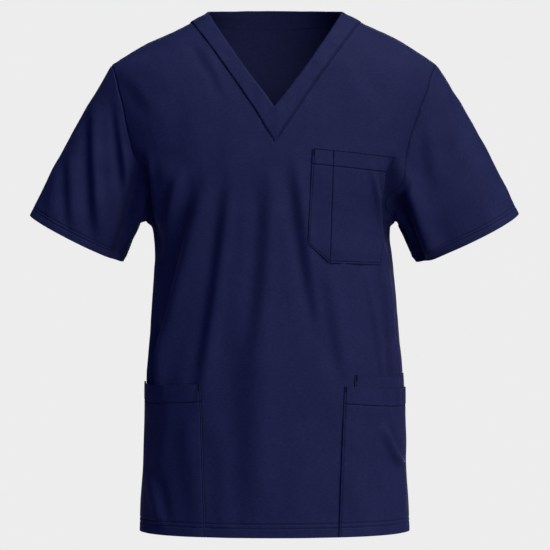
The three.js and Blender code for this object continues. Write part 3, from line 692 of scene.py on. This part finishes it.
def at_foot(up):
    """One at the foot of a band, which is tucked under its neighbour, and none a fourteenth of the way up."""
    return np.clip(1 - up * 14, 0, 1)


def right_band_place(across, up):
    """The end of the right band goes on for a few millimetres under the lap of the left one."""
    seam_x, seam_z, fold_x, fold_z = band_lines(RIGHT, crowded(up))
    tuck = LAP_TUCK * at_foot(up)
    across = denser(across, (0, 1), 0.06)
    x = mix(seam_x, fold_x, across) + tuck * 0.4
    points, normals = laid_on_front(x, mix(seam_z, fold_z, across) - tuck)
    run = run_along(points, 1)
    banded = raised_band(points, normals, run, run[:, -1:] - run)
    return banded - normals * (LAP_RISE * 0.8 * ease(1 - up * 14))[..., None]


def left_band_place(across, up):
    """The left band runs on past the inner point of the V down to the neckline's own point."""
    across = denser(across, (0, 1), 0.06)
    above = np.clip((up - LAP_ROWS) / (1 - LAP_ROWS), 0, 1)
    seam_x, seam_z, fold_x, fold_z = band_lines(LEFT, crowded(above))
    below = np.clip(up / LAP_ROWS, 0, 1)
    on_lap = up < LAP_ROWS
    right_seam = form(RIGHT, neck_turn(RIGHT, np.array(LAP_Z)), LAP_Z)
    seam_z = np.where(on_lap, mix(V_POINT_Z, LAP_Z, below), seam_z)
    seam_x = np.where(on_lap, form(LEFT, neck_turn(LEFT, seam_z), seam_z)[..., 0], seam_x)
    fold_x = np.where(on_lap, mix(right_seam[0], 0, below), fold_x)
    fold_z = np.where(on_lap, mix(LAP_Z, INNER_V_Z, below), fold_z)
    tuck = POINT_TUCK * at_foot(up)
    points, normals = laid_on_front(mix(seam_x, fold_x, across), mix(seam_z, fold_z, across) - tuck)
    run, down = run_along(points, 1), run_along(points, 0)
    banded = raised_band(points, normals, np.minimum(run, down), run[:, -1:] - run)
    lapping = LAP_RISE * ease(1.6 - up / LAP_ROWS) * ease(np.minimum(run, down) / 3) * across
    return banded + normals * lapping[..., None]


bands = {}
for node, place, rows in (("neckband_right", right_band_place, 130), ("neckband_left", left_band_place, 150)):
    strip = laid_grid(node + "_strip", 26, rows, place, INSIDE_BODY)
    bands[node] = made_up(node + "_cloth", [strip], BAND_THICKNESS)
    finish_cloth(bands[node], node)


BAND_TUCK, NAPE_RISE = 1.6, 1.6


def back_band_place(across, up):
    side_right = across < 0.5
    round_it = 1 - np.abs(across - 0.5) * 2
    points, normals = np.zeros(across.shape + (3,)), np.zeros(across.shape + (3,))
    for side, chosen in ((RIGHT, side_right), (LEFT, ~side_right)):
        seam_z = mix(NECK_SEAM_Z[side], BACK_NECK_SEAM_Z, round_it)
        top_z = mix(NECK_POINT_Z, BACK_NECK_TOP_Z, np.sin(QUARTER * round_it))
        tuck = BAND_TUCK * ease(round_it * 8) * (1 - up)
        turn, z = mix(SEAM_TURN, -QUARTER, round_it), mix(seam_z, top_z, up) - tuck
        points[chosen] = cloth(side, turn, z)[chosen]
        normals[chosen] = form_normal(side, turn, z)[chosen]
    run = run_along(points, 0)
    nape_rise = NAPE_RISE * np.exp(-((run / 2) ** 2))
    return raised_band(points, normals, run, run[-1:] - run) + normals * nape_rise[..., None]


back_band = laid_grid("neckband_back_strip", 150, 22, back_band_place, (0, 0, -60))
bands["neckband_back"] = made_up("neckband_back_cloth", [back_band], BAND_THICKNESS)
finish_cloth(bands["neckband_back"], "neckband_back")


# Side pockets: large patches that run from a folded front edge round to the side seam and down into the hem,
# and a smaller one behind the left of them. Their tops are folded over, stitched across, and gape a little.
SIDE_POCKETS = [
    # side, node, front top z, side top z, foot z, top x, foot x, gape, covers
    (RIGHT, "pocket_right", -526, -525.6, -737, 102, 95, 3.4, 0),
    (LEFT, "pocket_left_inner", -513, -514, -600, 110, 107, 1, 0),
    (LEFT, "pocket_left", -528.4, -533.4, -737, 95.5, 88, 2, 1),
]
POCKET_FOLDS = {
    RIGHT: [
        (-164, -530, -174, -566, -184, -618, 8, -1.6, 0.5),
        (-150, -545, -163, -610, -176, -668, 10, 1.8, 0),
        (-172, -640, -162, -686, -150, -735, 7, -2.6, 0.8),
        (-128, -560, -124, -640, -118, -740, 12, 1.4, 0),
    ],
    LEFT: [
        (150, -578, 163, -614, 184, -650, 4.5, -4.0, 2.2),
        (174, -590, 181, -660, 184, -740, 6, -2.2, 1.6),
        (118, -560, 124, -640, 130, -740, 13, -1.6, 0),
        (150, -650, 146, -690, 140, -740, 10, 1.4, 0),
    ],
}
POCKET_OFF, POCKET_EASE, SAG = 1.15, 1.3, 3.3
TOP_STITCH, EDGE_STITCH = 24.5, 2.8
SEAM_CLEARANCE = 0.0035


def side_pocket_place(side, front_z, side_z, foot_z, top_x, foot_x, gape, covers):
    def place(across, up):
        share = denser(across, (0, 0.022, 1), 0.02)
        height = denser(up, (0, 0.0615, 0.09, 1 - TOP_STITCH / (front_z - foot_z), 1), 0.02)
        top_z = mix(front_z, side_z, share) - SAG * np.sin(math.pi * share)
        z = mix(float(foot_z), top_z, height)
        edge_turn = turn_at(side, side * mix(foot_x, top_x, height), z)
        turn = mix(edge_turn, SEAM_TURN + vent_turn(side, z) + SEAM_CLEARANCE, share)
        bare = form(side, turn, z)
        kept = ease((turn - SEAM_TURN) / math.radians(12))
        under = kept * np.clip(fold_lift(FRONT_FOLDS, bare[..., 0], z), 0, 2.6)
        own = kept * fold_lift(POCKET_FOLDS[side], bare[..., 0], z) + limp(bare, 40, 0.5, 41 + covers)
        mouth = ease(1 - (top_z - z) / 70) * np.sin(math.pi * share)
        cover = covers * ease(1 + (z + 602) / 40) * ease((share - 0.05) / 0.1)
        full = np.sin(math.pi * np.clip(share, 0, 1)) ** 0.5
        off = POCKET_OFF * (1 + cover * 0.9) + POCKET_EASE * full * (1 + cover) + under + gape * mouth
        points = bare + form_normal(side, turn, z) * off[..., None]
        run, rise = run_along(points, 1), run_along(points, 0)
        top_run = rise[-1:] - rise
        shut = dip(run, 0.5, 0.8) + dip(run - EDGE_STITCH, 0.5, 0.8) + dip(run[:, -1:] - run, 1.0, 1.2)
        folded = 0.4 * ease((TOP_STITCH + 1 - top_run) / 2) + dip(top_run - TOP_STITCH, 0.8, 0.9)
        in_hem = foot_z < VENT_TOP_Z
        hemmed = sum(dip(rise - line, THREAD_DIP, THREAD_WIDTH) for line in HEM_LINES) if in_hem else 0
        pucker = limp(points, 12, 0.22, 45) * np.exp(-run / 9)
        return points + facing(points, INSIDE_BODY) * (own + shut + folded + hemmed + pucker)[..., None]

    return place


pockets = {}
for side, node, *sizes in SIDE_POCKETS:
    patch = laid_grid(node + "_patch", 84, 130, side_pocket_place(side, *sizes), INSIDE_BODY)
    pockets[node] = made_up(node + "_cloth", [patch], CLOTH_THICKNESS)
    finish_cloth(
        pockets[node],
        node,
    )


# Chest pocket: one patch with its top folded over and stitched across, and the bottom corner nearest the
# middle cut off. A row of stitching from top to bottom parts a narrow slot for a pen.
CHEST_TOP = ((51.8, -200.4), (167, -211))
CHEST_FOOT = ((44.4, -331.6), (75, -358.7), (147.7, -361.2))
PEN_SHARE = 0.25
CHEST_TOP_STITCH, CHEST_WIDTH = 22, 118
CHEST_GRID = 96
CHEST_COLUMNS = (0, 0.025, PEN_SHARE, 0.975, 1), 0.014


def chest_place(across, up):
    share = denser(across, *CHEST_COLUMNS)
    x = np.interp(share, [0, PEN_SHARE, 1], [foot[0] for foot in CHEST_FOOT])
    z = np.interp(share, [0, PEN_SHARE, 1], [foot[1] for foot in CHEST_FOOT])
    height = denser(up, (0, 0.02, 0.86, 1), 0.014)
    x = mix(x, mix(CHEST_TOP[0][0], CHEST_TOP[1][0], share), height)
    z = mix(z, mix(CHEST_TOP[0][1], CHEST_TOP[1][1], share), height)
    turn = turn_at(LEFT, x, z)
    off = POCKET_OFF + POCKET_EASE * np.sin(math.pi * share) ** 0.5 * ease(height * 8)
    points = cloth(LEFT, turn, z) + form_normal(LEFT, turn, z) * off[..., None]
    run, rise = run_along(points, 1), run_along(points, 0)
    edge_run = np.minimum(np.minimum(run, run[:, -1:] - run), rise)
    top_run = rise[-1:] - rise
    shut = dip(edge_run, 0.6, 0.8) + dip(edge_run - EDGE_STITCH, 0.6, 0.8)
    pen = dip((share - PEN_SHARE) * CHEST_WIDTH, 1.2, 0.8)
    folded = 0.4 * ease((CHEST_TOP_STITCH + 1 - top_run) / 2) + dip(top_run - CHEST_TOP_STITCH, 0.8, 0.9)
    own = limp(points, 42, 0.45, 51) + limp(points, 12, 0.2, 52) * np.exp(-edge_run / 9)
    return points + facing(points, INSIDE_BODY) * (shut + pen + folded + own)[..., None]


patch = laid_grid("chest_pocket_patch", CHEST_GRID, 120, chest_place, INSIDE_BODY)
pockets["chest_pocket"] = made_up("chest_pocket_cloth", [patch], CLOTH_THICKNESS)
finish_cloth(pockets["chest_pocket"], "chest_pocket")


# Sewing: lockstitched rows in a polyester thread darker than the cloth, three millimetres to a stitch. Twin
# rows hold the hems, single rows the pockets, the neckline, the vents and the seams, and bar tacks the corners
# of the pockets. Thicker rows of this dark thread on the pockets' very edges are painted shade, standing for
# the dark shadow line where the cloth turns under.
thread = bpy.data.materials.new("navy polyester thread")
thread.use_nodes = True
tree = thread.node_tree
surface = tree.nodes["Principled BSDF"]
where = add_node(tree, "ShaderNodeTexCoord")
twist = add_node(tree, "ShaderNodeTexNoise", Vector=where.outputs["Object"], Scale=900.0, Detail=1.0)
tint = add_node(tree, "ShaderNodeMix", {"data_type": "RGBA"}, Factor=twist.outputs["Fac"])
tint.inputs[6].default_value = linear("#04061a")
tint.inputs[7].default_value = linear("#0a0d2a")
tree.links.new(tint.outputs[2], surface.inputs["Base Color"])
surface.inputs["Roughness"].default_value = 0.85
surface.inputs["Specular IOR Level"].default_value = 0.1
STITCH_PITCH, STITCH_LENGTH = 3.0, 2.5
TACK_PITCH, TACK_HEIGHT = 0.55, 0.45
VENT_STITCH, NECK_STITCH = 7, 2.6


def row_from(name, edge, distance):
    """The line a distance in from one edge of a surface, and its normals. Left is where columns start."""
    points, normals = surfaces[name]
    if edge in ("foot", "top"):
        points, normals = points.swapaxes(0, 1), normals.swapaxes(0, 1)
    if edge in ("right", "top"):
        points, normals = points[:, ::-1], normals[:, ::-1]
    run = run_along(points, 1)
    count = np.arange(points.shape[1])
    at = np.array([np.interp(distance, each, count) for each in run])
    low = np.minimum(at.astype(int), len(count) - 2)
    share = (at - low)[:, None]
    line = np.arange(len(at))
    before, after = (line, low), (line, low + 1)
    return mix(points[before], points[after], share), mix(normals[before], normals[after], share)


def only(row, low, high=math.inf):
    """The part of a row that lies between two heights."""
    points, normals = row
    kept = (points[:, 2] > low) & (points[:, 2] < high)
    return points[kept], normals[kept]


def stitches_on(row):
    """The middle, direction and normal of each stitch of a row."""
    points, normals = row
    run = run_along(points[None], 1)[0]
    middles = np.arange(STITCH_PITCH, run[-1] - STITCH_PITCH / 2, STITCH_PITCH)

    def on_row(values, places):
        return np.stack([np.interp(places, run, values[:, axis]) for axis in range(3)], axis=-1)

    ahead = on_row(points, middles + STITCH_LENGTH / 2) - on_row(points, middles - STITCH_LENGTH / 2)
    return on_row(points, middles), unit(ahead), unit(on_row(normals, middles))


def bar_tack(row, start, length):
    """Stitches set crosswise, close together, for a length of a row."""
    points, normals = row
    run = run_along(points[None], 1)[0]
    places = np.arange(start, start + length, TACK_PITCH)
    at = np.stack([np.interp(places, run, points[:, axis]) for axis in range(3)], axis=-1)
    along = unit(np.gradient(at, axis=0))
    facing_out = unit(np.stack([np.interp(places, run, normals[:, axis]) for axis in range(3)], axis=-1))
    return at + facing_out * TACK_HEIGHT, unit(np.cross(facing_out, along)), facing_out


def sewn(name, stitches, radius, length=STITCH_LENGTH):
    """One mesh of small rounded stitches, each a stretched six-sided bead half sunk in the cloth."""
    bpy.ops.object.select_all(action="DESELECT")
    bpy.ops.mesh.primitive_uv_sphere_add(segments=6, ring_count=4, radius=1)
    bead = bpy.context.object
    shape = np.array([vertex.co[:] for vertex in bead.data.vertices])
    faces = [list(face.vertices) for face in bead.data.polygons]
    bpy.data.objects.remove(bead)
    middle, ahead, out = (np.concatenate(parts) for parts in zip(*stitches))
    aside = np.cross(out, ahead)
    placed = (
        middle[:, None]
        + ahead[:, None] * shape[None, :, 2:3] * length / 2
        + aside[:, None] * shape[None, :, 0:1] * radius
        + out[:, None] * shape[None, :, 1:2] * radius
    )
    mesh = bpy.data.meshes.new(name)
    count = len(shape)
    starts = range(0, count * len(middle), count)
    each_face = [[corner + start for corner in face] for start in starts for face in faces]
    mesh.from_pydata((placed.reshape(-1, 3) / 1000).tolist(), [], each_face)
    piece = bpy.data.objects.new(name, mesh)
    bpy.context.collection.objects.link(piece)
    bpy.context.view_layer.objects.active = piece
    piece.select_set(True)
    bpy.ops.object.mode_set(mode="EDIT")
    bpy.ops.mesh.select_all(action="SELECT")
    bpy.ops.mesh.normals_make_consistent(inside=False)
    bpy.ops.object.mode_set(mode="OBJECT")
    bpy.ops.object.shade_smooth()
    mesh.materials.append(thread)
    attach(piece, "root")
    return piece


# folds collects the thick dark rows on the pockets' very edges, which are painted shade lines, not sewing.
hems, edges, folds, seams, tacks = [], [], [], [], []
for side in (RIGHT, LEFT):
    for panel in ("front", "back"):
        half = f"{panel}_{side}"
        hems += [stitches_on(row_from(half, "foot", line)) for line in HEM_LINES]
        vent = only(row_from(half, "left", VENT_STITCH), HEM_Z + 3, VENT_TOP_Z + 4)
        edges.append(stitches_on(vent))
    neckline = only(row_from(f"front_{side}", "right", NECK_STITCH), V_POINT_Z + 2)
    edges.append(stitches_on(neckline))
    shoulder = row_from(f"front_{side}", "top", 0.3)
    seams.append(stitches_on(shoulder))
for node in ("sleeve_right", "sleeve_left"):
    hems += [stitches_on(row_from(node + "_tube", "top", line)) for line in SLEEVE_HEM_LINES]
    armhole = only(row_from(node + "_tube", "foot", 0.2), ARMPIT_Z + 36)
    seams.append(stitches_on(armhole))
for side, node, *sizes in SIDE_POCKETS:
    patch = node + "_patch"
    front_edge = row_from(patch, "left", EDGE_STITCH)
    edges += [stitches_on(front_edge), stitches_on(row_from(patch, "top", TOP_STITCH))]
    # The row on the front edge itself is painted shade: dark thread where the edge's shadow line falls.
    folds.append(stitches_on(row_from(patch, "left", 0)))
    foot_z = sizes[2]
    if foot_z < VENT_TOP_Z:
        hems += [stitches_on(row_from(patch, "foot", line)) for line in HEM_LINES]
    tacks.append(bar_tack((front_edge[0][::-1], front_edge[1][::-1]), 0.6, 8))
patch = "chest_pocket_patch"
for edge in ("left", "right", "foot"):
    edges.append(stitches_on(row_from(patch, edge, EDGE_STITCH)))
    # Rows on the very edges are painted shade: dark thread where the edge's shadow line falls.
    folds.append(stitches_on(row_from(patch, edge, 0)))
edges.append(stitches_on(row_from(patch, "top", CHEST_TOP_STITCH)))
chest_shares = denser(np.linspace(0, 1, CHEST_GRID + 1), *CHEST_COLUMNS)
pen_column = int(round(float(np.interp(PEN_SHARE, chest_shares, np.arange(CHEST_GRID + 1)))))
pen = surfaces[patch][0][::-1, pen_column], surfaces[patch][1][::-1, pen_column]
edges.append(stitches_on(pen))
# The row along the top edge is painted shade too, for the shadow line along the pocket's top.
folds.append(stitches_on(row_from(patch, "top", 0.3)))
chest_edge = row_from(patch, "left", EDGE_STITCH)
tacks.append(bar_tack((chest_edge[0][::-1], chest_edge[1][::-1]), 0.6, 9))
tacks.append(bar_tack(pen, 0.6, 10))
sewn("hem_stitches", hems, radius=0.28)
sewn("edge_stitches", edges, radius=0.42)
# The edge rows are painted shade lines in dark thread, not real stitching.
sewn("shade_line_stitches", folds, length=3.2, radius=0.55)
sewn("seam_stitches", seams, length=3.2, radius=0.45)
sewn("bar_tacks", tacks, length=2.4, radius=0.42)


# Floor, backdrop and light: a pale floor well below the top and a pale backdrop. A soft key and a side light
# come from the wearer's left, with a weak fill in front, a light behind for the back and a small spot inside
# the neck. The floor throws no light up and the surroundings are dim and blue, to keep the folds' shade deep.
bpy.ops.object.select_all(action="DESELECT")
bpy.ops.mesh.primitive_circle_add(vertices=96, radius=4.5, fill_type="NGON", location=(0, 0, -1.35))
floor = bpy.context.object
floor.name = "floor"
pale = bpy.data.materials.new("pale floor")
pale.use_nodes = True
pale.node_tree.nodes["Principled BSDF"].inputs["Base Color"].default_value = linear("#e4e4e4")
pale.node_tree.nodes["Principled BSDF"].inputs["Roughness"].default_value = 0.9
floor.data.materials.append(pale)
floor.visible_diffuse = False


def add_light(kind, name, place, direction, energy, softness, colour):
    """A soft light at a place; its direction points from what it lights towards it."""
    bpy.ops.object.light_add(type=kind, location=place)
    light = bpy.context.object
    light.name = name
    light.data.energy = energy
    light.data.color = linear(colour)[:3]
    if kind == "SUN":
        light.data.angle = math.radians(softness)
    else:
        light.data.spot_size = math.radians(softness)
        light.data.spot_blend = 1
        light.data.shadow_soft_size = 0.02
        light.visible_camera = False
    x, y, z = direction
    light.rotation_euler = (math.atan2(math.hypot(x, y), z), 0, math.atan2(x, -y))


add_light("SUN", "key_light", (1, -1, 3), (0.332, -0.332, 0.883), 2.45, 35, "#fff9f0")
add_light("SUN", "side_light", (2, -2, 0.4), (0.7, -0.7, 0.139), 1.0, 35, "#fff6e4")
add_light("SUN", "fill_light", (0.5, -3, 0.3), (0.17, -0.98, 0.09), 0.44, 35, "#ccd4ff")
add_light("SUN", "back_light", (0.2, 3, 0.6), (0.06, 0.98, 0.2), 1.3, 35, "#eef0ff")
add_light("SPOT", "neck_light", (-0.01, -0.06, -0.2), (0, -0.15, -0.155), 0.42, 55, "#fffaf2")

world = bpy.data.worlds.new("studio")
bpy.context.scene.world = world
world.use_nodes = True
tree = world.node_tree
around = tree.nodes["Background"]
around.inputs["Color"].default_value = linear("#5468ff")
around.inputs["Strength"].default_value = 0.16
backdrop = add_node(tree, "ShaderNodeBackground", Color=linear("#ededed"), Strength=1.0)
seen = add_node(tree, "ShaderNodeLightPath")
either = add_node(tree, "ShaderNodeMixShader")
tree.links.new(seen.outputs["Is Camera Ray"], either.inputs[0])
tree.links.new(around.outputs[0], either.inputs[1])
tree.links.new(backdrop.outputs[0], either.inputs[2])
tree.links.new(either.outputs[0], tree.nodes["World Output"].inputs["Surface"])

bpy.context.scene.view_settings.view_transform = "Standard"

# Camera: level and straight in front of the middle of the top, with a long lens, as the photo looks.
bpy.ops.object.camera_add(location=(0, -3.6, -0.375), rotation=(QUARTER, 0, 0))
camera = bpy.context.object
camera.data.sensor_width = 36
camera.data.lens = 165.24
bpy.context.scene.camera = camera
